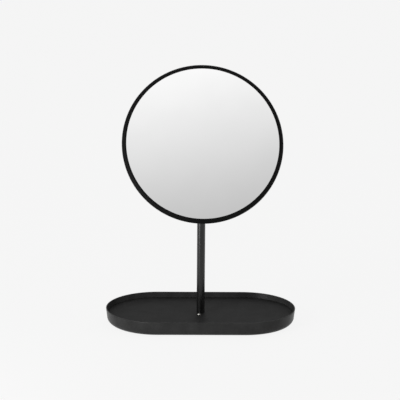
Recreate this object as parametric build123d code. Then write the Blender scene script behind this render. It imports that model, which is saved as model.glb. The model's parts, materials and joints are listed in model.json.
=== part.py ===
from build123d import *
import os
from math import cos, radians, sin

# Table mirror on an oblong tray. Sizes are in millimetres, +Z is up and the mirror faces -Y.
# The origin is the middle of the tray's footprint, on the table.

# Tray: a drawn steel pan with a flat floor plate let into it
tray_length = 280.0
tray_width = 152.0
tray_height = 21.0
pan_sheet = 1.5
wall_lean = 2.5        # how far the wall comes in between the rim and the base
base_bend = 8.0        # outside radius where the wall turns into the base
rim_round = 0.6
tray_depth = 8.0       # from the rim down to the floor
floor_sheet = 1.5
floor_gap = 0.1
ballast_length = 190.0
ballast_width = 100.0
ballast_chamfer = 0.8
pad_thickness = 1.0
pad_margin = 3.0       # the pad stops this far inside the flat of the base

# Post: a round tube with a plug below and a bush above
post_diameter = 12.0
post_wall = 1.5
fixed_gap = 0.05       # between pieces that are pressed or glued together
plug_length = 18.0
plug_nose = 1.3        # the plug's nose goes this far into the floor plate
foot_screw_diameter = 6.0
foot_screw_head = 12.0
foot_screw_length = 20.0
foot_screw_socket = 4.0
socket_depth = 2.0
hole_gap = 0.3
bush_length = 14.0
bush_flange = 1.5

# Rivet head beside the foot
rivet_x = -2.5
rivet_y = -11.0
rivet_head = 4.0
rivet_rise = 1.7
rivet_shank = 2.0
rivet_bite = 3.0       # how far the shank goes into the ballast

# Joint between post and head
pivot_height = 264.0
pivot_above_tube = 12.0
running_gap = 0.05
shoulder_thickness = 2.4
spigot_diameter = 6.0
clip_sheet = 0.8
clip_bite = 0.6        # depth of the clip's groove
clip_rim = 1.2         # how far the clip stands out of the spigot
clip_mouth = 4.0
spigot_tip = 2.0       # what is left of the spigot below the clip
spring_rise = 1.0
spring_sheet = 0.4
spring_rim = 1.1
tongue_thickness = 6.0
tongue_width = 12.0
heel_round = 2.0
fork_width = 16.0
fork_radius = 7.0
fork_clearance = 7.5   # from the bolt's axis to the bottom of the fork's slot
fork_chamfer = 1.0
washer_sheet = 0.5
washer_diameter = 13.0
bolt_diameter = 5.0
bolt_head = 9.0
bolt_head_height = 2.6
bolt_bevel = 1.0
bolt_socket = 3.0
nut_width = 8.0
nut_height = 4.0
nut_collar = 7.0
nut_collar_height = 1.6
nut_thread = 3.5       # length of the bolt's thread in the nut

# Head: glass on the ledge of a half-round ring, closed by a panel
glass_diameter = 220.0
glass_thickness = 3.0
glass_sink = 0.4
glass_arris = 0.4
glass_gap = 0.2
rim_radius = 5.4       # of the half-round bar
rim_lip = 0.4
ledge_width = 6.0
ledge_thickness = 1.5
tape_thickness = 0.8
tape_width = 4.0
panel_thickness = 1.0
panel_gap = 0.3
foam_thickness = 2.0
foam_margin = 2.0
foam_hole = 44.0
head_reach = 30.0      # from the tilt bolt's axis to the front of the rim
flange_diameter = 38.0
flange_thickness = 3.0
flange_bevel = 0.8
bracket_rivet_count = 3
bracket_rivet_circle = 27.5
bracket_rivet_shank = 4.0
bracket_rivet_head = 7.0
bracket_rivet_rise = 1.6
bracket_rivet_tail = 1.0
bracket_rivet_tail_width = 6.0
panel_screw_count = 6
panel_screw_diameter = 3.0
panel_screw_head = 5.5
panel_screw_rise = 1.8
head_bevel = 0.5       # of the flat screw and rivet heads

# How the head stands: leaning back and turned a little, with room to lean further
head_turn = 2.5
head_lean = 24.0
lean_limit = 60.0
stop_margin = 3.0      # the heel meets the fork this many degrees past the limit

# Heights and radii that follow from the sizes above
pan_base_z = pad_thickness
rim_z = pan_base_z + tray_height
floor_z = rim_z - tray_depth
floor_under_z = floor_z - floor_sheet
pan_inside_z = pan_base_z + pan_sheet
post_radius = post_diameter / 2
post_bore = post_radius - post_wall
tube_top_z = pivot_height - pivot_above_tube
spigot_radius = spigot_diameter / 2
bolt_radius = bolt_diameter / 2
seat_radius = glass_diameter / 2 + glass_gap
rim_back = head_reach - 2 * rim_radius
glass_front = head_reach - glass_sink
glass_back = glass_front - glass_thickness
ledge_front = glass_back - tape_thickness
ledge_back = ledge_front - ledge_thickness
panel_back = ledge_back - panel_thickness
ledge_radius = seat_radius - ledge_width
flange_back = panel_back - flange_thickness
screw_places = PolarLocations(seat_radius - ledge_width / 2, panel_screw_count).locations
rivet_places = PolarLocations(bracket_rivet_circle / 2, bracket_rivet_count, start_angle=90).locations
UP = (Align.CENTER, Align.CENTER, Align.MIN)
DOWN = (Align.CENTER, Align.CENTER, Align.MAX)


def stadium(length, width, z):
    """Round-ended face at height z."""
    return Pos(0, 0, z) * SlotOverall(length, width)


def rod(radius, low, high):
    """Upright cylinder between two heights."""
    return Pos(0, 0, low) * Cylinder(radius, high - low, align=UP)


def button(radius, rise, edge):
    """Flat head with a bevelled edge, standing on z = 0."""
    head = Cylinder(radius, rise, align=UP)
    return chamfer(head.edges().group_by(Axis.Z)[-1], edge)


def dome(radius, rise):
    """Cap of a sphere, standing on z = 0."""
    ball = (radius**2 + rise**2) / (2 * rise)
    return Pos(0, 0, rise - ball) * Sphere(ball) & Cylinder(radius, rise, align=UP)


def hex_socket(width, depth):
    """Six-sided recess going down from z = 0."""
    return extrude(RegularPolygon(width / 2, 6, major_radius=False), -depth)


def wall_inset(z):
    """How far the pan's outer wall has come in at height z."""
    return wall_lean * (rim_z - z) / tray_height


def pan_section():
    """Half of the pan's cross-section: x out from the middle line, y up."""
    outside = tray_width / 2
    inside = outside - pan_sheet
    base_corner = (outside - wall_lean, pan_base_z)
    inner_corner = (inside - wall_inset(pan_inside_z), pan_inside_z)
    outline = Polyline(
        (0, pan_base_z), base_corner, (outside, rim_z), (inside, rim_z), inner_corner, (0, pan_inside_z),
        close=True,
    )
    section = make_face(outline)
    section = fillet(section.vertices().sort_by_distance((*base_corner, 0))[0], base_bend)
    section = fillet(section.vertices().sort_by_distance((*inner_corner, 0))[0], base_bend - pan_sheet)
    return fillet(section.vertices().group_by(Axis.Y)[-1], rim_round)


def round_ended(section, straight):
    """Solid with this half section all round: straight along both sides, and a half turn at each end."""
    middle = extrude(Plane.YZ * (section + mirror(section, Plane.YZ)), straight / 2, both=True)
    half_turn = revolve(Plane.XZ * section, Axis.Z, 180)
    right_end = Pos(straight / 2, 0, 0) * Rot(0, 0, -90) * half_turn
    return middle + right_end + mirror(right_end, Plane.YZ)


def foot_screw_form(gap):
    """Countersunk screw with its head's face at the pan's underside, larger all round by gap."""
    shank = foot_screw_diameter / 2 + gap
    head = foot_screw_head / 2 + gap
    cone = Pos(0, 0, pan_base_z) * Cone(head, shank, head - shank, align=UP)
    return cone + rod(shank, pan_base_z, pan_base_z + foot_screw_length)


def make_tray_pan():
    return round_ended(pan_section(), tray_length - tray_width) - foot_screw_form(fixed_gap)


def make_tray_floor():
    inset = pan_sheet + wall_inset(floor_under_z) + floor_gap
    outline = stadium(tray_length - 2 * inset, tray_width - 2 * inset, floor_under_z)
    plate = extrude(outline, floor_sheet)
    plate -= rod(post_bore, floor_under_z, floor_z)
    return plate - Pos(rivet_x, rivet_y, 0) * rod(rivet_shank / 2 + fixed_gap, floor_under_z, floor_z)


def make_ballast_plate():
    plate = extrude(stadium(ballast_length, ballast_width, pan_inside_z), floor_under_z - pan_inside_z)
    plate = chamfer(plate.faces().filter_by(Axis.Z).edges(), ballast_chamfer)
    plate -= foot_screw_form(hole_gap)
    rivet_end = floor_under_z - rivet_bite
    return plate - Pos(rivet_x, rivet_y, 0) * rod(rivet_shank / 2 + fixed_gap, rivet_end, floor_under_z)


def make_base_pad():
    inset = wall_lean + base_bend + pad_margin
    return extrude(stadium(tray_length - 2 * inset, tray_width - 2 * inset, 0), pad_thickness)


def make_floor_rivet():
    rivet = Pos(0, 0, floor_z) * dome(rivet_head / 2, rivet_rise)
    rivet += rod(rivet_shank / 2, floor_under_z - rivet_bite, floor_z)
    return Pos(rivet_x, rivet_y, 0) * rivet


def make_post_tube():
    return rod(post_radius, floor_z, tube_top_z) - rod(post_bore, floor_z, tube_top_z)


def make_foot_plug():
    plug = rod(post_bore - fixed_gap, floor_z - plug_nose, floor_z + plug_length)
    return plug - rod(foot_screw_diameter / 2 + fixed_gap, floor_z - plug_nose, floor_z + plug_length)


def make_foot_screw():
    recess = hex_socket(foot_screw_socket, socket_depth)
    return foot_screw_form(0) - Pos(0, 0, pan_base_z) * Rot(180, 0, 0) * recess


def make_post_bush():
    bush = rod(post_bore - fixed_gap, tube_top_z - bush_length, tube_top_z)
    bush += rod(post_radius, tube_top_z, tube_top_z + bush_flange)
    return bush - rod(spigot_radius + running_gap, tube_top_z - bush_length, tube_top_z + bush_flange)


# The swivel's pieces stand in the post's axis and turn together by head_turn
spring_top_z = tube_top_z - bush_length - running_gap
clip_top_z = spring_top_z - spring_rise
clip_low_z = clip_top_z - clip_sheet
groove_radius = spigot_radius - clip_bite
shoulder_z = tube_top_z + bush_flange + running_gap


def make_swivel_knuckle():
    knuckle = rod(spigot_radius, clip_low_z - spigot_tip, shoulder_z)
    knuckle += rod(post_radius, shoulder_z, shoulder_z + shoulder_thickness)
    tongue_drop = pivot_height - shoulder_z - shoulder_thickness
    heel_rise = fork_clearance / sin(radians(lean_limit + stop_margin))
    heel = Rectangle(tongue_width / 2, heel_rise, align=(Align.MIN, Align.MIN))
    heel = fillet(heel.vertices().group_by(Axis.Y)[-1].sort_by(Axis.X)[-1], heel_round)
    side = Circle(tongue_width / 2) + Rectangle(tongue_width, tongue_drop, align=(Align.CENTER, Align.MAX))
    tongue = extrude(Plane.YZ * (side + heel), tongue_thickness / 2, both=True)
    tongue -= Rot(0, 90, 0) * Cylinder(bolt_radius + running_gap, tongue_thickness)
    knuckle += Pos(0, 0, pivot_height) * tongue
    collar = rod(spigot_radius, clip_low_z, clip_top_z) - rod(groove_radius, clip_low_z, clip_top_z)
    return Rot(0, 0, head_turn) * (knuckle - collar)


def make_retaining_clip():
    clip = rod(spigot_radius + clip_rim, clip_low_z + running_gap, clip_top_z - running_gap)
    clip -= rod(groove_radius + fixed_gap, clip_low_z, clip_top_z)
    mouth = Box(post_radius, clip_mouth, clip_sheet, align=(Align.MIN, Align.CENTER, Align.MIN))
    return Rot(0, 0, head_turn) * (clip - Pos(0, 0, clip_low_z) * mouth)


def make_spring_washer():
    bore = spigot_radius + fixed_gap
    rise = spring_rise - spring_sheet
    outline = Polyline(
        (bore, clip_top_z + rise),
        (bore, spring_top_z),
        (bore + spring_rim, spring_top_z - rise),
        (bore + spring_rim, clip_top_z),
        close=True,
    )
    return revolve(Plane.XZ * make_face(outline), Axis.Z)


# The head's pieces are made about the tilt bolt's axis: x along the bolt, y up the glass, z out of its face
head_frame = Plane(
    origin=(0, 0, pivot_height),
    x_dir=(cos(radians(head_turn)), sin(radians(head_turn)), 0),
    z_dir=(
        sin(radians(head_turn)) * cos(radians(head_lean)),
        -cos(radians(head_turn)) * cos(radians(head_lean)),
        sin(radians(head_lean)),
    ),
).location


def make_head_rim():
    bar_centre = seat_radius + rim_lip
    round_side = ThreePointArc(
        (bar_centre, head_reach), (bar_centre + rim_radius, head_reach - rim_radius), (bar_centre, rim_back)
    )
    inner_side = Polyline(
        (bar_centre, rim_back),
        (seat_radius, rim_back),
        (seat_radius, ledge_back),
        (ledge_radius, ledge_back),
        (ledge_radius, ledge_front),
        (seat_radius, ledge_front),
        (seat_radius, head_reach),
        (bar_centre, head_reach),
    )
    ring = revolve(Plane.XZ * make_face(round_side + inner_side), Axis.Z)
    hole = rod(panel_screw_diameter / 2 + fixed_gap, ledge_back, ledge_front)
    return ring - [place * hole for place in screw_places]


def make_mirror_glass():
    glass = rod(glass_diameter / 2, glass_back, glass_front)
    return chamfer(glass.faces().filter_by(Axis.Z).edges(), glass_arris)


def make_glass_tape():
    inner = ledge_radius + (ledge_width - tape_width) / 2
    return rod(inner + tape_width, ledge_front, glass_back) - rod(inner, ledge_front, glass_back)


def make_backing_foam():
    outer = ledge_radius - foam_margin
    return rod(outer, ledge_back, ledge_back + foam_thickness) - rod(
        foam_hole / 2, ledge_back, ledge_back + foam_thickness
    )


def make_back_panel():
    panel = rod(seat_radius - panel_gap, panel_back, ledge_back)
    screw_hole = rod(panel_screw_diameter / 2 + fixed_gap, panel_back, ledge_back)
    rivet_hole = rod(bracket_rivet_shank / 2 + fixed_gap, panel_back, ledge_back)
    panel -= [place * screw_hole for place in screw_places]
    return panel - [place * rivet_hole for place in rivet_places]


def make_panel_screws():
    head = Rot(180, 0, 0) * button(panel_screw_head / 2, panel_screw_rise, head_bevel)
    screw = Pos(0, 0, panel_back) * head + rod(panel_screw_diameter / 2, panel_back, ledge_front)
    return [place * screw for place in screw_places]


def make_tilt_bracket():
    side = Circle(fork_radius) + Rectangle(2 * fork_radius, flange_back, align=(Align.CENTER, Align.MIN))
    bracket = extrude(Plane.YZ * side, fork_width / 2, both=True)
    bracket = chamfer(bracket.edges().filter_by(Axis.Z), fork_chamfer)
    slot = tongue_thickness + 2 * washer_sheet + 4 * running_gap
    bracket -= Pos(0, 0, fork_clearance) * Box(slot, 4 * fork_radius, 4 * fork_radius, align=DOWN)
    bracket -= Rot(0, 90, 0) * Cylinder(bolt_radius + fixed_gap, fork_width)
    flange = rod(flange_diameter / 2, flange_back, panel_back)
    flange = chamfer(flange.edges().group_by(Axis.Z)[0], flange_bevel)
    rivet_hole = rod(bracket_rivet_shank / 2 + fixed_gap, flange_back, panel_back)
    return bracket + flange - [place * rivet_hole for place in rivet_places]


def make_bracket_rivets():
    rivet = rod(bracket_rivet_shank / 2, flange_back, ledge_back)
    head = Rot(180, 0, 0) * button(bracket_rivet_head / 2, bracket_rivet_rise, head_bevel)
    rivet += Pos(0, 0, flange_back) * head
    rivet += rod(bracket_rivet_tail_width / 2, ledge_back, ledge_back + bracket_rivet_tail)
    return [place * rivet for place in rivet_places]


def make_tilt_bolt():
    bolt = rod(bolt_radius, -fork_width / 2 - nut_thread, fork_width / 2)
    bolt += Pos(0, 0, fork_width / 2) * button(bolt_head / 2, bolt_head_height, bolt_bevel)
    bolt -= Pos(0, 0, fork_width / 2 + bolt_head_height) * hex_socket(bolt_socket, bolt_head_height / 2)
    return Rot(0, 90, 0) * bolt


def make_tilt_nut():
    nut = extrude(RegularPolygon(nut_width / 2, 6, major_radius=False), nut_height)
    nut += Pos(0, 0, nut_height) * button(nut_collar / 2, nut_collar_height, head_bevel)
    nut -= rod(bolt_radius + fixed_gap, 0, nut_thread + hole_gap)
    return Rot(0, -90, 0) * Pos(0, 0, fork_width / 2) * nut


def make_friction_washers():
    washer = rod(washer_diameter / 2, 0, washer_sheet) - rod(bolt_radius + fixed_gap, 0, washer_sheet)
    right = Rot(0, 90, 0) * Pos(0, 0, tongue_thickness / 2 + running_gap) * washer
    return [right, Rot(0, 0, 180) * right]


fixed_pieces = {
    "tray_pan": make_tray_pan(),
    "tray_floor": make_tray_floor(),
    "ballast_plate": make_ballast_plate(),
    "base_pad": make_base_pad(),
    "floor_rivet": make_floor_rivet(),
    "post_tube": make_post_tube(),
    "foot_plug": make_foot_plug(),
    "foot_screw": make_foot_screw(),
    "post_bush": make_post_bush(),
    "swivel_knuckle": make_swivel_knuckle(),
    "retaining_clip": make_retaining_clip(),
    "spring_washer": make_spring_washer(),
}
head_pieces = {
    "head_rim": make_head_rim(),
    "mirror_glass": make_mirror_glass(),
    "glass_tape": make_glass_tape(),
    "backing_foam": make_backing_foam(),
    "back_panel": make_back_panel(),
    "panel_screws": make_panel_screws(),
    "tilt_bracket": make_tilt_bracket(),
    "bracket_rivets": make_bracket_rivets(),
    "tilt_bolt": make_tilt_bolt(),
    "tilt_nut": make_tilt_nut(),
    "friction_washers": make_friction_washers(),
}

os.makedirs("parts", exist_ok=True)
for name, piece in fixed_pieces.items():
    export_step(piece, f"parts/{name}.step")
for name, piece in head_pieces.items():
    solids = piece if isinstance(piece, list) else [piece]
    placed = [head_frame * solid for solid in solids]
    export_step(Compound(children=placed) if len(placed) > 1 else placed[0], f"parts/{name}.step")
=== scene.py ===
import json
import math

import bmesh
import bpy
from mathutils import Matrix, Vector


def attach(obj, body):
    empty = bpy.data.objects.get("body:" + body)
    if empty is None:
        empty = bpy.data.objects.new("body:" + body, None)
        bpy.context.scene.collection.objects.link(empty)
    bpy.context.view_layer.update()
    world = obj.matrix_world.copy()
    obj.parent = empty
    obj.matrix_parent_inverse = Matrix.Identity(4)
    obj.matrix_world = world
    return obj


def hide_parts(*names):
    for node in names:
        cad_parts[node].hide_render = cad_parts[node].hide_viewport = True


# Looks of a round table mirror that stands in an oblong tray.
# The sizes named below are in millimetres and degrees; MM turns them into Blender's metres.
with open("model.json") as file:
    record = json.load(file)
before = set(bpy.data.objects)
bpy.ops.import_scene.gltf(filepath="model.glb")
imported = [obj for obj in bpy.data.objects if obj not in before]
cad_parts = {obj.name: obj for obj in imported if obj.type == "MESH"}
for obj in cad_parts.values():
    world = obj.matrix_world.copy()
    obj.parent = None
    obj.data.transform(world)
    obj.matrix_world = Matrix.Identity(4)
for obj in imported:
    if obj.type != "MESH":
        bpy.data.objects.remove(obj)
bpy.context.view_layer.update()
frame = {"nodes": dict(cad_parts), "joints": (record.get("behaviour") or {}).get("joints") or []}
nodes = frame["nodes"]
MM = 0.001

# Camera: a long lens, a little above the tray, fitted to the edges of tray, post and rim
CAMERA_ELEVATION = 14.152
CAMERA_AZIMUTH = -0.781
CAMERA_ROLL = 0.431
CAMERA_DISTANCE = 2500.0
CAMERA_AIM = (-2.077, 0, 185.316)
LENS = 154.34
SENSOR = 36.0

# Studio: a pale backdrop, and overhead a wide soft light whose lower edge shows in the glass
BACKDROP = "#f6f6f6"
FLOOR = "#e6e6e4"
FLOOR_SIZE = 16000.0
FLOOR_SHADOW = 0.05  # share of the floor's own shading that shows
SOFTBOX_TILT = -0.16  # its lower edge hangs lower to the left
SOFTBOX_EDGE = (0.508, 0.628)  # heights where its lower edge starts and is full; straight up is 1
SOFTBOX_LEVEL = (0.53, 1.07)  # strength below and above that edge

# Lamps: turn in degrees from the front (left is negative), rise in degrees above level, power in watts
LAMPS = {
    "key_light": {"turn": -46.0, "rise": 14.0, "distance": 2000.0, "power": 26.0, "size": (500.0, 1300.0)},
    "fill_light": {"turn": 80.0, "rise": 10.0, "distance": 2000.0, "power": 8.0, "size": (600.0, 900.0)},
    "low_card": {"turn": -50.0, "rise": -10.0, "distance": 600.0, "power": 1.0, "size": (260.0, 160.0)},
}

# Head: x along the tilt bolt, y up the glass and z out of its face, from the bolt's middle
HEAD_LEAN = 24.0
HEAD_REACH = 30.0
GLASS_SINK = 0.4
GLASS_THICKNESS = 3.0
TAPE_THICKNESS = 0.8
TAPE_WIDTH = 4.0
LEDGE_THICKNESS = 1.5
LEDGE_WIDTH = 6.0
SEAT_RADIUS = 110.2
PANEL_THICKNESS = 1.0
FOAM_THICKNESS = 2.0
FOAM_MARGIN = 2.0
FOAM_HOLE = 44.0
FLANGE_THICKNESS = 3.0
FORK_WIDTH = 16.0

# Small fasteners
PANEL_SCREW_COUNT = 6
PANEL_SCREW_SHANK = 3.0
PANEL_SCREW_HEAD = 5.5
PANEL_SCREW_RISE = 1.8
PANEL_SCREW_EDGE = 0.81  # upright part of the head's side
CROSS_WIDTH = 0.75
CROSS_SPAN = 3.2
CROSS_DEPTH = 1.2
CROSS_TIP_WIDTH = 0.577  # width and span where the cross ends below
CROSS_TIP_SPAN = 1.28
RIVET_COUNT = 3
RIVET_CIRCLE = 27.5
RIVET_SHANK = 4.0
RIVET_HEAD = 7.0
RIVET_RISE = 1.6
RIVET_TAIL = 6.0
RIVET_TAIL_RISE = 1.0
RIVET_EDGE = 0.2  # upright part of the head's side
RIVET_TAIL_EASE = 0.3
BOLT_SHANK = 5.0
BOLT_HEAD = 9.0
BOLT_RISE = 2.6
BOLT_EDGE = 0.5  # upright part of the head's side, of which the ease is the lower end
BOLT_EASE = 0.2
BOLT_TIP_EASE = 0.4
BOLT_SOCKET = 3.0
BOLT_SOCKET_DEPTH = 1.4
BOLT_SOCKET_POINT = 0.5  # depth of the cone below the socket
BOLT_SOCKET_TIP = 0.05
BOLT_THREAD = 3.5
NUT_WIDTH = 8.0
NUT_HEIGHT = 4.0
NUT_COLLAR = 7.0
NUT_COLLAR_RISE = 1.6
NUT_RING = 0.9
NUT_CHAMFER = 0.6  # height of the hexagon's chamfer, as a share of what it takes off the corners
NUT_COLLAR_SINK = 0.2  # the collar starts this far inside the hexagon
NUT_LIP = 0.5
NUT_LIP_ROUND = 0.15
NUT_MOUTH_EASE = 0.1
RING_EDGE = 0.2  # how far the nylon ring stands up at its edge, at its crest and in its middle
RING_CREST = 0.3
RING_MIDDLE = 0.05
RING_CREST_INSET = 0.4

# Pad under the tray
PAD_LENGTH = 253.0
PAD_WIDTH = 125.0
PAD_THICKNESS = 1.0
PAD_EDGE = 0.35
PAD_EDGE_STEPS = 4

# Meshes: how many sides stand for a circle, and from which angle on an edge stays sharp
SCREW_SIDES = 40
RIVET_SIDES = 48
BOLT_SIDES = 64
FOAM_SIDES = 128
TIP_RADIUS = 0.02  # of the small flat that closes a dome or a recess
CUT_PAST = 1.0  # how far a cutting shape reaches out of the piece
SHARP_ANGLE = 35.0

# Between these values lies most of a noise texture, and most of a cell texture
NOISE_SPREAD = (0.3, 0.7)
CELL_SPREAD = (0.1, 0.6)

glass_front = HEAD_REACH - GLASS_SINK
glass_back = glass_front - GLASS_THICKNESS
ledge_front = glass_back - TAPE_THICKNESS
ledge_back = ledge_front - LEDGE_THICKNESS
panel_back = ledge_back - PANEL_THICKNESS
flange_back = panel_back - FLANGE_THICKNESS
ledge_radius = SEAT_RADIUS - LEDGE_WIDTH


def head_matrix():
    """The head's own frame, from the tilt joint in the record."""
    joint = next(j for j in frame["joints"] if j["name"] == "head_tilt")
    along_bolt = -Vector(joint["axis"])
    lean = Matrix.Rotation(math.radians(-HEAD_LEAN), 3, along_bolt)
    out_of_glass = lean @ along_bolt.cross(Vector((0, 0, 1)))
    turn = Matrix((along_bolt, out_of_glass.cross(along_bolt), out_of_glass)).transposed()
    return Matrix.Translation(joint["pos_m"]) @ turn.to_4x4()


HEAD = head_matrix()


# ---- materials ----

def linear(shade):
    """An sRGB colour written as #rrggbb, as linear red, green, blue and alpha."""
    parts = [int(shade[i:i + 2], 16) / 255 for i in (1, 3, 5)]
    return [*(p / 12.92 if p <= 0.04045 else ((p + 0.055) / 1.055) ** 2.4 for p in parts), 1.0]


def add_node(tree, kind, settings=None, links=None):
    """Adds a node. Settings give values to its sockets or properties, and links say which output of which
    node goes into a socket."""
    added = tree.nodes.new(kind)
    for name, value in (settings or {}).items():
        if isinstance(name, int) or name in added.inputs:
            added.inputs[name].default_value = value
        else:
            setattr(added, name, value)
    for socket, (source, output) in (links or {}).items():
        tree.links.new(source.outputs[output], added.inputs[socket])
    return added


def new_material(name, finish):
    """A material with a Principled shader of this finish. Gives the material, its node tree, the shader and
    the node with the piece's own coordinates."""
    material = bpy.data.materials.new(name)
    material.use_nodes = True
    tree = material.node_tree
    tree.nodes.clear()
    shader = add_node(tree, "ShaderNodeBsdfPrincipled", finish)
    add_node(tree, "ShaderNodeOutputMaterial", links={"Surface": (shader, "BSDF")})
    place = add_node(tree, "ShaderNodeTexCoord")
    return material, tree, shader, place


def scale_for(pitch):
    """A texture's scale for lumps or cells that are pitch millimetres apart."""
    return 1 / (pitch * MM)


def shade_between(tree, shader, pattern, dark, light, spread=NOISE_SPREAD):
    """The shader's colour goes from dark to light with the pattern."""
    low, high = spread
    share = add_node(tree, "ShaderNodeMapRange", {"From Min": low, "From Max": high}, {"Value": (pattern, 0)})
    shades = {"Color1": linear(dark), "Color2": linear(light)}
    mix = add_node(tree, "ShaderNodeMixRGB", shades, {"Fac": (share, "Result")})
    tree.links.new(mix.outputs["Color"], shader.inputs["Base Color"])


def gloss_and_relief(tree, shader, pattern, roughness, height=0.0, strength=0.0):
    """The roughness goes from low to high with the pattern, which stands out by up to height millimetres."""
    low, high = NOISE_SPREAD
    range_settings = {"From Min": low, "From Max": high, "To Min": roughness[0], "To Max": roughness[1]}
    level = add_node(tree, "ShaderNodeMapRange", range_settings, {"Value": (pattern, 0)})
    tree.links.new(level.outputs["Result"], shader.inputs["Roughness"])
    if strength:
        relief_settings = {"Distance": height * MM, "Strength": strength}
        bump = add_node(tree, "ShaderNodeBump", relief_settings, {"Height": (pattern, 0)})
        tree.links.new(bump.outputs["Normal"], shader.inputs["Normal"])


def powder_coat(name, dark, light, roughness, specular, peel_relief):
    """Black polyester powder, sprayed on steel and baked: an even skin with a fine orange peel that breaks
    reflections up, and a faint cloudiness where the powder lay thicker."""
    material, tree, shader, place = new_material(name, {"IOR": 1.5, "Specular IOR Level": specular})
    peel = add_node(
        tree,
        "ShaderNodeTexNoise",
        {"Scale": scale_for(0.9), "Detail": 3.0, "Roughness": 0.6},  # 0.3 mm in life, coarser to show
        {"Vector": (place, "Object")},
    )
    cloud = add_node(tree, "ShaderNodeTexNoise", {"Scale": scale_for(18.0)}, {"Vector": (place, "Object")})
    shade_between(tree, shader, cloud, dark, light)
    gloss_and_relief(tree, shader, peel, roughness, height=0.02, strength=peel_relief)
    return material


def silvered_glass():
    """Low-iron float glass, silvered behind: a clear neutral reflection with the glass's own gloss over it,
    and a trace of haze from wiping."""
    finish = {"Metallic": 1.0, "Coat Weight": 1.0, "Coat Roughness": 0.0, "Coat IOR": 1.52}
    material, tree, shader, place = new_material("silvered_float_glass", finish)
    haze = add_node(
        tree, "ShaderNodeTexNoise", {"Scale": scale_for(45.0), "Detail": 1.0}, {"Vector": (place, "Object")}
    )
    shade_between(tree, shader, haze, "#f7f7f7", "#f9f9f9")
    gloss_and_relief(tree, shader, haze, (0.0, 0.012))
    return material


def nickel_plate():
    """Cold-headed steel, nickel plated and tumbled bright: small highlights over faint tumbling marks."""
    material, tree, shader, place = new_material("tumbled_nickel_plate", {"Metallic": 1.0})
    marks = add_node(tree, "ShaderNodeTexNoise", {"Scale": scale_for(0.5)}, {"Vector": (place, "Object")})
    shade_between(tree, shader, marks, "#94938f", "#a3a29e")
    gloss_and_relief(tree, shader, marks, (0.16, 0.26))
    return material


def zinc_plate():
    """Steel, barrel zinc plated and blue passivated: a grey metal with soft blotches and a satin sheen."""
    material, tree, shader, place = new_material("passivated_zinc_plate", {"Metallic": 1.0})
    spangle = add_node(
        tree, "ShaderNodeTexNoise", {"Scale": scale_for(6.0), "Detail": 3.0}, {"Vector": (place, "Object")}
    )
    shade_between(tree, shader, spangle, "#9fa5aa", "#c3c8cb")
    gloss_and_relief(tree, shader, spangle, (0.28, 0.42), height=0.01, strength=0.3)
    return material


def black_oxide():
    """Steel blackened in a hot bath and oiled: a brown-black metal that shines along its edges."""
    material, tree, shader, place = new_material("oiled_black_oxide_steel", {"Metallic": 1.0})
    oil = add_node(tree, "ShaderNodeTexNoise", {"Scale": scale_for(1.5)}, {"Vector": (place, "Object")})
    etch = add_node(tree, "ShaderNodeTexNoise", {"Scale": scale_for(0.4)}, {"Vector": (place, "Object")})
    shade_between(tree, shader, oil, "#43413f", "#55524f")
    gloss_and_relief(tree, shader, etch, (0.3, 0.45), height=0.008, strength=0.3)
    return material


def moulded_nylon():
    """Black nylon, injection moulded and spark eroded: a soft, slightly waxy gloss on a fine grain."""
    material, tree, shader, place = new_material("moulded_black_nylon", {"IOR": 1.53})
    grain = add_node(tree, "ShaderNodeTexNoise", {"Scale": scale_for(0.25)}, {"Vector": (place, "Object")})
    shade_between(tree, shader, grain, "#161616", "#1f1f20")
    gloss_and_relief(tree, shader, grain, (0.4, 0.55), height=0.01, strength=0.4)
    return material


def foam_rubber():
    """Black EVA foam, skived and die cut: open cells at the surface that hold the light, dull all over."""
    finish = {"IOR": 1.47, "Specular IOR Level": 0.3}
    material, tree, shader, place = new_material("skived_black_eva_foam", finish)
    cells = add_node(
        tree,
        "ShaderNodeTexVoronoi",
        {"Scale": scale_for(0.8)},  # cells of 0.3 mm in life, coarser to show
        {"Vector": (place, "Object")},
    )
    shade_between(tree, shader, cells, "#0e0e0e", "#242424", spread=CELL_SPREAD)
    gloss_and_relief(tree, shader, cells, (0.8, 0.95), height=0.12, strength=0.6)
    return material


def white_foam():
    """Closed-cell polyethylene foam, extruded and slit: off-white, dull, with small pearly cells."""
    finish = {"IOR": 1.5, "Specular IOR Level": 0.4}
    material, tree, shader, place = new_material("slit_white_polyethylene_foam", finish)
    cells = add_node(tree, "ShaderNodeTexVoronoi", {"Scale": scale_for(1.0)}, {"Vector": (place, "Object")})
    shade_between(tree, shader, cells, "#d2d2cc", "#e6e6e1", spread=CELL_SPREAD)
    gloss_and_relief(tree, shader, cells, (0.6, 0.8), height=0.1, strength=0.5)
    return material


# One black powder coat covers all the steel. The pan and the back parts carry its own shade. The tray's
# floor, the post and the rim are given darker shades as painted shade, set to the tones that light leaves on
# them.
pan_coat = powder_coat(
    "satin_powder_coat_on_pan", "#222222", "#2a2a2a", roughness=(0.29, 0.41), specular=0.10, peel_relief=0.25
)
floor_coat_painted_shade = powder_coat(
    "matt_powder_coat_on_floor_painted_shade", "#161616", "#1c1c1c", roughness=(0.45, 0.57), specular=0.06, peel_relief=0.3
)
post_coat_painted_shade = powder_coat(
    "satin_powder_coat_on_post_painted_shade", "#080808", "#0c0c0c", roughness=(0.24, 0.27), specular=0.42, peel_relief=0.04
)
rim_coat_painted_shade = powder_coat(
    "matt_powder_coat_on_rim_painted_shade", "#090909", "#0d0d0d", roughness=(0.45, 0.57), specular=0.04, peel_relief=0.2
)
back_coat = powder_coat(
    "matt_powder_coat_on_back", "#1f1f1f", "#262626", roughness=(0.37, 0.49), specular=0.4, peel_relief=0.3
)
mirror = silvered_glass()
nickel = nickel_plate()
zinc = zinc_plate()
oxide = black_oxide()
nylon = moulded_nylon()
rubber = foam_rubber()
foam = white_foam()

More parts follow.
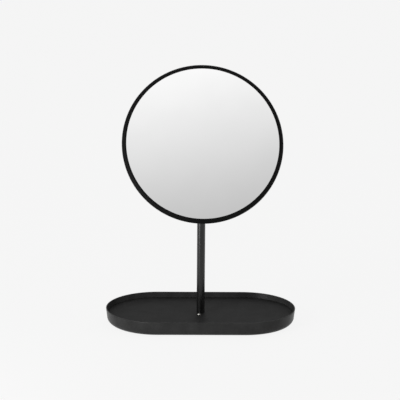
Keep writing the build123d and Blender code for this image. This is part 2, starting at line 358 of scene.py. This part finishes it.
finishes = {
    "tray_pan": pan_coat,
    "tray_floor": floor_coat_painted_shade,
    "ballast_plate": zinc,
    "base_pad": rubber,
    "floor_rivet": nickel,
    "post_tube": post_coat_painted_shade,
    "foot_plug": zinc,
    "foot_screw": zinc,
    "post_bush": nylon,
    "swivel_knuckle": post_coat_painted_shade,
    "retaining_clip": zinc,
    "spring_washer": zinc,
    "head_rim": rim_coat_painted_shade,
    "mirror_glass": mirror,
    "glass_tape": foam,
    "backing_foam": foam,
    "back_panel": back_coat,
    "panel_screws": oxide,
    "tilt_bracket": back_coat,
    "bracket_rivets": oxide,
    "tilt_bolt": oxide,
    "tilt_nut": oxide,
    "friction_washers": nylon,
}
for node_name, finish in finishes.items():
    for material_slot in nodes[node_name].material_slots:
        material_slot.material = finish


# ---- mesh pieces ----

def ring(radius, z, count):
    """Points of a level circle."""
    angles = [2 * math.pi * i / count for i in range(count)]
    return [Vector((radius * math.cos(a), radius * math.sin(a), z)) for a in angles]


def stadium_ring(length, width, z, count=98):
    """Points of a level round-ended outline."""
    straight = (length - width) / 2
    return [p + Vector((math.copysign(straight, p.x), 0, 0)) for p in ring(width / 2, z, count)]


def skin(name, rings, cap=True):
    """A mesh through rings of equally many points, from bottom to top. Its two ends are closed with caps, or
    else the last ring is joined to the first."""
    mesh = bpy.data.meshes.new(name)
    form = bmesh.new()
    loops = [[form.verts.new(p * MM) for p in points] for points in rings]
    for low, high in zip(loops, loops[1:]):
        for i in range(len(low)):
            form.faces.new((low[i - 1], low[i], high[i], high[i - 1]))
    if cap:
        form.faces.new(reversed(loops[0]))
        form.faces.new(loops[-1])
    else:
        for i in range(len(loops[0])):
            form.faces.new((loops[-1][i - 1], loops[-1][i], loops[0][i], loops[0][i - 1]))
    bmesh.ops.recalc_face_normals(form, faces=form.faces)
    form.to_mesh(mesh)
    form.free()
    return mesh


def turned(name, profile, count):
    """A turned piece from (radius, height) pairs, bottom to top."""
    return skin(name, [ring(radius, z, count) for radius, z in profile])


def add_piece(name, mesh, material, body, place=Matrix(), stands_for=()):
    """Puts a mesh in the scene with its material, on the body that it rides on."""
    piece = bpy.data.objects.new(name, mesh)
    bpy.context.scene.collection.objects.link(piece)
    if not mesh.materials:
        mesh.materials.append(material)
    piece.matrix_world = place
    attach(piece, body)
    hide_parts(*stands_for)
    return piece


def combined(mesh, other, operation):
    """The mesh with another one cut out of it, joined to it or shared with it."""
    base = bpy.data.objects.new("base", mesh)
    tool = bpy.data.objects.new("tool", other)
    for thing in (base, tool):
        bpy.context.scene.collection.objects.link(thing)
    cut = base.modifiers.new("cut", "BOOLEAN")
    cut.operation = operation
    cut.object = tool
    cut.solver = "EXACT"
    evaluated = base.evaluated_get(bpy.context.evaluated_depsgraph_get())
    result = bpy.data.meshes.new_from_object(evaluated)
    result.name = mesh.name
    for thing in (base, tool):
        bpy.data.objects.remove(thing)
    return result


def smoothed(mesh):
    """Smooth shading, with an edge kept sharp where its faces turn by more than the sharp angle."""
    form = bmesh.new()
    form.from_mesh(mesh)
    for face in form.faces:
        face.smooth = True
    for edge in form.edges:
        edge.smooth = edge.is_manifold and edge.calc_face_angle() < math.radians(SHARP_ANGLE)
    form.to_mesh(mesh)
    form.free()
    return mesh


def dome_profile(radius, rise, low, steps=8):
    """(radius, height) pairs of a spherical cap whose rim is at height low."""
    ball = (radius**2 + rise**2) / (2 * rise)
    half = math.asin(radius / ball)
    angles = [half * (1 - i / steps) for i in range(steps)]
    cap = [(ball * math.sin(a), low + rise - ball + ball * math.cos(a)) for a in angles]
    return [*cap, (TIP_RADIUS, low + rise)]


def cross_cutter(z):
    """Two tapering blades at right angles, from height z down."""
    cutter = None
    for turn in (0, 90):
        blade = bpy.data.meshes.new("blade")
        form = bmesh.new()
        ends = []
        for span, width, height in (
            (CROSS_SPAN / 2, CROSS_WIDTH / 2, z + CROSS_DEPTH),
            (CROSS_TIP_SPAN / 2, CROSS_TIP_WIDTH / 2, z - CROSS_DEPTH),
        ):
            corners = [(-span, -width), (span, -width), (span, width), (-span, width)]
            ends.append([form.verts.new(Vector((x, y, height)) * MM) for x, y in corners])
        upper, lower = ends
        form.faces.new(upper)
        form.faces.new(reversed(lower))
        for i in range(len(upper)):
            form.faces.new((upper[i - 1], lower[i - 1], lower[i], upper[i]))
        form.transform(Matrix.Rotation(math.radians(turn), 4, "Z"))
        bmesh.ops.recalc_face_normals(form, faces=form.faces)
        form.to_mesh(blade)
        form.free()
        cutter = blade if cutter is None else combined(cutter, blade, "UNION")
    return cutter


def panel_screw_mesh():
    """Pan-head screw with a cross recess, its head's seat at z = 0 and its shank down."""
    head = PANEL_SCREW_HEAD / 2
    shank = PANEL_SCREW_SHANK / 2
    length = ledge_front - panel_back
    cap = dome_profile(head, PANEL_SCREW_RISE - PANEL_SCREW_EDGE, PANEL_SCREW_EDGE)
    profile = [(shank, -length), (shank, 0), (head, 0), *cap]
    screw = turned("panel_screw", profile, SCREW_SIDES)
    screw = combined(screw, cross_cutter(PANEL_SCREW_RISE), "DIFFERENCE")
    return smoothed(screw)


def make_panel_screws():
    """Screws through the back panel into the rim's ledge."""
    screw = panel_screw_mesh()
    middle = SEAT_RADIUS - LEDGE_WIDTH / 2
    for i in range(PANEL_SCREW_COUNT):
        round_panel = Matrix.Rotation(2 * math.pi * i / PANEL_SCREW_COUNT, 4, "Z")
        spot = Matrix.Translation(Vector((middle, 0, panel_back)) * MM)
        place = HEAD @ round_panel @ spot @ Matrix.Rotation(math.pi, 4, "X")
        add_piece(f"panel_screw_{i + 1}", screw, oxide, "head", place, ["panel_screws"])


def make_bracket_rivets():
    """Dome-head rivets through the bracket's flange and the back panel, with a low tail inside."""
    shank = RIVET_SHANK / 2
    head = RIVET_HEAD / 2
    foot = RIVET_TAIL / 2
    through = flange_back - ledge_back
    tail = through - RIVET_TAIL_RISE
    profile = [
        (foot - RIVET_TAIL_EASE, tail), (foot, tail + RIVET_TAIL_EASE), (foot, through), (shank, through),
        (shank, 0), (head, 0), *dome_profile(head, RIVET_RISE - RIVET_EDGE, RIVET_EDGE),
    ]
    rivet = smoothed(turned("bracket_rivet", profile, RIVET_SIDES))
    for i in range(RIVET_COUNT):
        round_flange = Matrix.Rotation(math.radians(90 + 360 * i / RIVET_COUNT), 4, "Z")
        spot = Matrix.Translation(Vector((RIVET_CIRCLE / 2, 0, flange_back)) * MM)
        place = HEAD @ round_flange @ spot @ Matrix.Rotation(math.pi, 4, "X")
        add_piece(f"bracket_rivet_{i + 1}", rivet, oxide, "head", place, ["bracket_rivets"])


def make_tilt_bolt():
    """Button-head screw with a six-sided recess, lying along the head's x axis."""
    shank = BOLT_SHANK / 2
    head = BOLT_HEAD / 2
    side = FORK_WIDTH / 2
    tip = -side - BOLT_THREAD
    profile = [
        (shank - BOLT_TIP_EASE, tip), (shank, tip + BOLT_TIP_EASE), (shank, side),
        (head - BOLT_EASE, side), (head, side + BOLT_EASE),
        *dome_profile(head, BOLT_RISE - BOLT_EDGE, side + BOLT_EDGE),
    ]
    corner = BOLT_SOCKET / math.sqrt(3)
    top = side + BOLT_RISE
    bottom = top - BOLT_SOCKET_DEPTH
    socket_profile = [
        (BOLT_SOCKET_TIP, bottom - BOLT_SOCKET_POINT), (corner, bottom), (corner, top + CUT_PAST)
    ]
    socket = turned("socket", socket_profile, 6)
    bolt = smoothed(combined(turned("tilt_bolt_button", profile, BOLT_SIDES), socket, "DIFFERENCE"))
    place = HEAD @ Matrix.Rotation(math.pi / 2, 4, "Y")
    add_piece("tilt_bolt_button", bolt, oxide, "head", place, ["tilt_bolt"])


def make_tilt_nut():
    """Locking nut: a chamfered hexagon, and a turned collar round a nylon ring."""
    corner = NUT_WIDTH / math.sqrt(3)
    flat = NUT_WIDTH / 2
    hexagon = turned("hexagon", [(corner, 0), (corner, NUT_HEIGHT)], 6)
    ease = (corner - flat) * NUT_CHAMFER
    barrel_profile = [(flat, 0), (corner, ease), (corner, NUT_HEIGHT - ease), (flat, NUT_HEIGHT)]
    nut = combined(hexagon, turned("barrel", barrel_profile, BOLT_SIDES), "INTERSECT")
    top = NUT_HEIGHT + NUT_COLLAR_RISE
    seat_height = top - NUT_LIP
    outer = NUT_COLLAR / 2
    mouth = outer - NUT_RING
    collar_profile = [
        (outer, NUT_HEIGHT - NUT_COLLAR_SINK), (outer, seat_height),
        (outer - NUT_LIP_ROUND, top - NUT_LIP_ROUND), (outer - NUT_LIP, top),
        (mouth + NUT_MOUTH_EASE, top), (mouth, top - NUT_LIP_ROUND),
        (mouth, seat_height), (TIP_RADIUS, seat_height),
    ]
    nut = combined(nut, turned("collar", collar_profile, BOLT_SIDES), "UNION")
    bore_profile = [(BOLT_SHANK / 2, -CUT_PAST), (BOLT_SHANK / 2, BOLT_THREAD)]
    nut = smoothed(combined(nut, turned("bore", bore_profile, RIVET_SIDES), "DIFFERENCE"))
    nut.name = "tilt_nut_hexagon"
    beside_fork = Matrix.Translation(Vector((-FORK_WIDTH / 2, 0, 0)) * MM)
    seat = HEAD @ beside_fork @ Matrix.Rotation(-math.pi / 2, 4, "Y")
    add_piece("tilt_nut_hexagon", nut, oxide, "head", seat, ["tilt_nut"])
    insert_profile = [
        (mouth, seat_height), (mouth, seat_height + RING_EDGE),
        (mouth - RING_CREST_INSET, seat_height + RING_CREST), (TIP_RADIUS, seat_height + RING_MIDDLE),
    ]
    insert = smoothed(turned("nut_insert", insert_profile, RIVET_SIDES))
    add_piece("nut_insert", insert, nylon, "head", seat)


def make_base_pad():
    """Die-cut foam pad, its cut edge a little rounded by the knife."""
    lower = []
    upper = []
    for i in range(PAD_EDGE_STEPS + 1):
        angle = math.radians(90 * i / PAD_EDGE_STEPS)
        inset = 2 * PAD_EDGE * (1 - math.sin(angle))
        z = PAD_EDGE * (1 - math.cos(angle))
        lower.append(stadium_ring(PAD_LENGTH - inset, PAD_WIDTH - inset, z))
        upper.append(stadium_ring(PAD_LENGTH - inset, PAD_WIDTH - inset, PAD_THICKNESS - z))
    mesh = smoothed(skin("foam_base_pad", [*lower, *reversed(upper)]))
    pad = add_piece("foam_base_pad", mesh, rubber, "base", stands_for=["base_pad"])


def foam_ring(name, inner, outer, low, high, stands_for):
    """Flat ring of foam, its edges pressed in by a fifth of its thickness."""
    edge = (high - low) / 5
    profile = [
        (inner + edge, low), (outer - edge, low), (outer, low + edge), (outer, high - edge),
        (outer - edge, high), (inner + edge, high), (inner, high - edge), (inner, low + edge),
    ]
    mesh = skin(name, [ring(radius, z, FOAM_SIDES) for radius, z in profile], cap=False)
    piece = add_piece(name, smoothed(mesh), foam, "head", HEAD, [stands_for])


def make_head_foams():
    """Tape between the rim's ledge and the glass, and the disc that fills the space behind the glass."""
    inner = ledge_radius + (LEDGE_WIDTH - TAPE_WIDTH) / 2
    foam_ring("foam_glass_tape", inner, inner + TAPE_WIDTH, ledge_front, glass_back, "glass_tape")
    foam_front = ledge_back + FOAM_THICKNESS
    foam_ring(
        "foam_backing", FOAM_HOLE / 2, ledge_radius - FOAM_MARGIN, ledge_back, foam_front, "backing_foam"
    )


make_panel_screws()
make_bracket_rivets()
make_tilt_bolt()
make_tilt_nut()
make_base_pad()
make_head_foams()


# ---- studio and camera ----

def make_world():
    """The camera sees the backdrop, straight or through something clear. All else sees a wide soft light
    overhead on pale walls, whose soft lower edge shows in the glass."""
    world = bpy.data.worlds.new("studio")
    bpy.context.scene.world = world
    world.use_nodes = True
    tree = world.node_tree
    tree.nodes.clear()
    direction = add_node(tree, "ShaderNodeTexCoord")
    height = add_node(
        tree,
        "ShaderNodeVectorMath",
        {"operation": "DOT_PRODUCT", 1: (SOFTBOX_TILT, 0, 1)},
        {0: (direction, "Generated")},
    )
    level_settings = {
        "interpolation_type": "SMOOTHSTEP",
        "From Min": SOFTBOX_EDGE[0],
        "From Max": SOFTBOX_EDGE[1],
        "To Min": SOFTBOX_LEVEL[0],
        "To Max": SOFTBOX_LEVEL[1],
    }
    level = add_node(tree, "ShaderNodeMapRange", level_settings, {"Value": (height, "Value")})
    light = add_node(tree, "ShaderNodeBackground", links={"Color": (level, "Result")})
    backdrop = add_node(tree, "ShaderNodeBackground", {"Color": linear(BACKDROP)})
    path = add_node(tree, "ShaderNodeLightPath")
    seen = add_node(
        tree,
        "ShaderNodeMath",
        {"operation": "ADD", "use_clamp": True},
        {0: (path, "Is Camera Ray"), 1: (path, "Is Transmission Ray")},
    )
    mix = add_node(
        tree,
        "ShaderNodeMixShader",
        links={"Fac": (seen, "Value"), 1: (light, "Background"), 2: (backdrop, "Background")},
    )
    add_node(tree, "ShaderNodeOutputWorld", links={"Surface": (mix, "Shader")})


def make_floor():
    """Plain pale floor: the camera, and what the object reflects, see it nearly as the backdrop, with a trace
    of the object's shadow."""
    mesh = bpy.data.meshes.new("floor")
    half = FLOOR_SIZE / 2 * MM
    corners = [(-half, -half, 0), (half, -half, 0), (half, half, 0), (-half, half, 0)]
    mesh.from_pydata(corners, [], [(0, 1, 2, 3)])
    floor = bpy.data.objects.new("floor", mesh)
    bpy.context.scene.collection.objects.link(floor)
    material = bpy.data.materials.new("painted_board")
    material.use_nodes = True
    tree = material.node_tree
    tree.nodes.clear()
    paint = add_node(tree, "ShaderNodeBsdfDiffuse", {"Color": linear(FLOOR)})
    glow = add_node(tree, "ShaderNodeEmission", {"Color": linear(BACKDROP)})
    path = add_node(tree, "ShaderNodeLightPath")
    seen = add_node(
        tree, "ShaderNodeMath", {"operation": "ADD"}, {0: (path, "Is Camera Ray"), 1: (path, "Is Glossy Ray")}
    )
    seen_through = add_node(
        tree,
        "ShaderNodeMath",
        {"operation": "ADD", "use_clamp": True},
        {0: (seen, "Value"), 1: (path, "Is Transmission Ray")},
    )
    share = add_node(
        tree, "ShaderNodeMath", {"operation": "MULTIPLY", 1: 1 - FLOOR_SHADOW}, {0: (seen_through, "Value")}
    )
    mix = add_node(
        tree,
        "ShaderNodeMixShader",
        links={"Fac": (share, "Value"), 1: (paint, "BSDF"), 2: (glow, "Emission")},
    )
    add_node(tree, "ShaderNodeOutputMaterial", links={"Surface": (mix, "Shader")})
    mesh.materials.append(material)


def toward(turn, rise):
    """Direction from the object: turn degrees from the front (to the right), rise degrees above level."""
    turn, rise = math.radians(turn), math.radians(rise)
    return Vector((math.sin(turn) * math.cos(rise), -math.cos(turn) * math.cos(rise), math.sin(rise)))


def add_lamp(name, turn, rise, distance, power, size):
    """Upright soft light that faces the object's middle and isn't seen straight by the camera."""
    data = bpy.data.lights.new(name, "AREA")
    data.shape = "RECTANGLE"
    data.size, data.size_y = (s * MM for s in size)
    data.energy = power
    lamp = bpy.data.objects.new(name, data)
    bpy.context.scene.collection.objects.link(lamp)
    way = toward(turn, rise)
    place = Matrix.Translation((Vector(CAMERA_AIM) + way * distance) * MM)
    lamp.matrix_world = place @ way.to_track_quat("Z", "Y").to_matrix().to_4x4()
    lamp.visible_camera = False


def make_camera():
    """Camera at the photograph's viewing angle, rolled by a trace."""
    data = bpy.data.cameras.new("camera")
    data.sensor_width = SENSOR
    data.lens = LENS
    camera = bpy.data.objects.new("camera", data)
    bpy.context.scene.collection.objects.link(camera)
    way = toward(CAMERA_AZIMUTH, CAMERA_ELEVATION)
    place = Matrix.Translation((Vector(CAMERA_AIM) + way * CAMERA_DISTANCE) * MM)
    roll = Matrix.Rotation(math.radians(CAMERA_ROLL), 4, "Z")
    camera.matrix_world = place @ way.to_track_quat("Z", "Y").to_matrix().to_4x4() @ roll
    bpy.context.scene.camera = camera


make_world()
make_floor()
for lamp_name, lamp_settings in LAMPS.items():
    add_lamp(lamp_name, **lamp_settings)
make_camera()
bpy.context.scene.view_settings.view_transform = "Standard"
